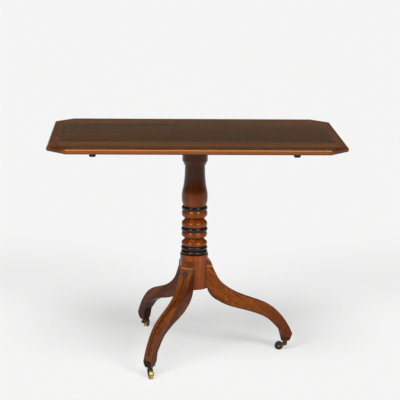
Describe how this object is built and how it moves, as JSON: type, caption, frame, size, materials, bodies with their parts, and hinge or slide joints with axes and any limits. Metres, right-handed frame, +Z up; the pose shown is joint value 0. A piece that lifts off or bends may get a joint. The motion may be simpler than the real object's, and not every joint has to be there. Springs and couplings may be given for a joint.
{
  "type": "tilt-top tea table",
  "caption": "Tilt-top tea table: a long top with canted corners tips on pivots over a turned pillar with blackened rings, on outswept legs with brass casters.",
  "frame": {"origin": "on the floor, under the middle of the pillar and of the top", "axes": "+Z up, +X along the top's long side towards the lone leg, +Y to the back, so the top tips up with its face to the front, -Y"},
  "size_m": [0.92, 0.6036, 0.724],
  "materials": {
    "mahogany_top": "polished mahogany, faded dark brown",
    "banding": "polished cross-cut veneer",
    "stringing": "ebonised line",
    "batten": "dull unpolished hardwood",
    "bearer": "dull unpolished hardwood",
    "block": "dull unpolished mahogany",
    "mahogany_pillar": "polished red-brown mahogany, blackened rings",
    "mahogany_leg": "polished red-brown mahogany",
    "steel_screw": "aged steel",
    "pin_steel": "turned steel",
    "brass": "aged brass",
    "brass_screw": "aged brass",
    "iron": "blackened wrought iron",
    "caster_dark": "dark tarnished brass",
    "caster_brass": "bright worn brass"
  },
  "bodies": {
    "base": {"tilt_block": "block", "tenon_wedge": "bearer", "pillar": "mahogany_pillar", "leg_right": "mahogany_leg", "leg_back": "mahogany_leg", "leg_front": "mahogany_leg", "bracket_screws": "steel_screw", "pivot_pin_left": "pin_steel", "pivot_pin_right": "pin_steel", "keeper_plate": "brass", "keeper_screws": "brass_screw", "spider_bracket": "iron", "caster_plate_right": "caster_dark", "caster_screws_right": "steel_screw", "caster_plate_back": "caster_dark", "caster_screws_back": "steel_screw", "caster_plate_front": "caster_dark", "caster_screws_front": "steel_screw"},
    "top": {"top_panel": "mahogany_top", "crossbanding": "banding", "stringing": "stringing", "batten_left": "batten", "batten_right": "batten", "batten_screws": "steel_screw", "bearer_left": "bearer", "bearer_right": "bearer", "bearer_screws": "steel_screw", "bolt_plate": "brass", "bolt_screws": "brass_screw"},
    "slide_bolt": {"slide_bolt": "brass"},
    "fork_right": {"caster_fork_right": "caster_dark", "caster_axle_right": "pin_steel"},
    "wheel_right": {"caster_wheel_right": "caster_brass"},
    "fork_back": {"caster_fork_back": "caster_dark", "caster_axle_back": "pin_steel"},
    "wheel_back": {"caster_wheel_back": "caster_brass"},
    "fork_front": {"caster_fork_front": "caster_dark", "caster_axle_front": "pin_steel"},
    "wheel_front": {"caster_wheel_front": "caster_brass"}
  },
  "joints": [
    {"name": "top_tilt", "type": "hinge", "parent": "base", "child": "top", "pos_m": [0, -0.0765, 0.6945], "axis": [1, 0, 0], "range_deg": [0, 90]},
    {"name": "bolt_slide", "type": "slide", "parent": "top", "child": "slide_bolt", "axis": [0, -1, 0], "range_m": [0, 0.011]},
    {"name": "swivel_right", "type": "hinge", "parent": "base", "child": "fork_right", "pos_m": [0.30315, 0.00953, 0.026], "axis": [0, 0, 1], "continuous": true},
    {"name": "spin_right", "type": "hinge", "parent": "fork_right", "child": "wheel_right", "pos_m": [0.28345, 0.013, 0.014], "axis": [-0.1736, -0.9848, 0], "continuous": true},
    {"name": "swivel_back", "type": "hinge", "parent": "base", "child": "fork_back", "pos_m": [-0.15983, 0.25777, 0.026], "axis": [0, 0, 1], "continuous": true},
    {"name": "spin_back", "type": "hinge", "parent": "fork_back", "child": "wheel_back", "pos_m": [-0.15169, 0.27604, 0.014], "axis": [-0.9135, 0.4067, 0], "continuous": true},
    {"name": "swivel_front", "type": "hinge", "parent": "base", "child": "fork_front", "pos_m": [-0.14333, -0.2673, 0.026], "axis": [0, 0, 1], "continuous": true},
    {"name": "spin_front", "type": "hinge", "parent": "fork_front", "child": "wheel_front", "pos_m": [-0.14089, -0.28715, 0.014], "axis": [0.9925, 0.1219, 0], "continuous": true}
  ]
}
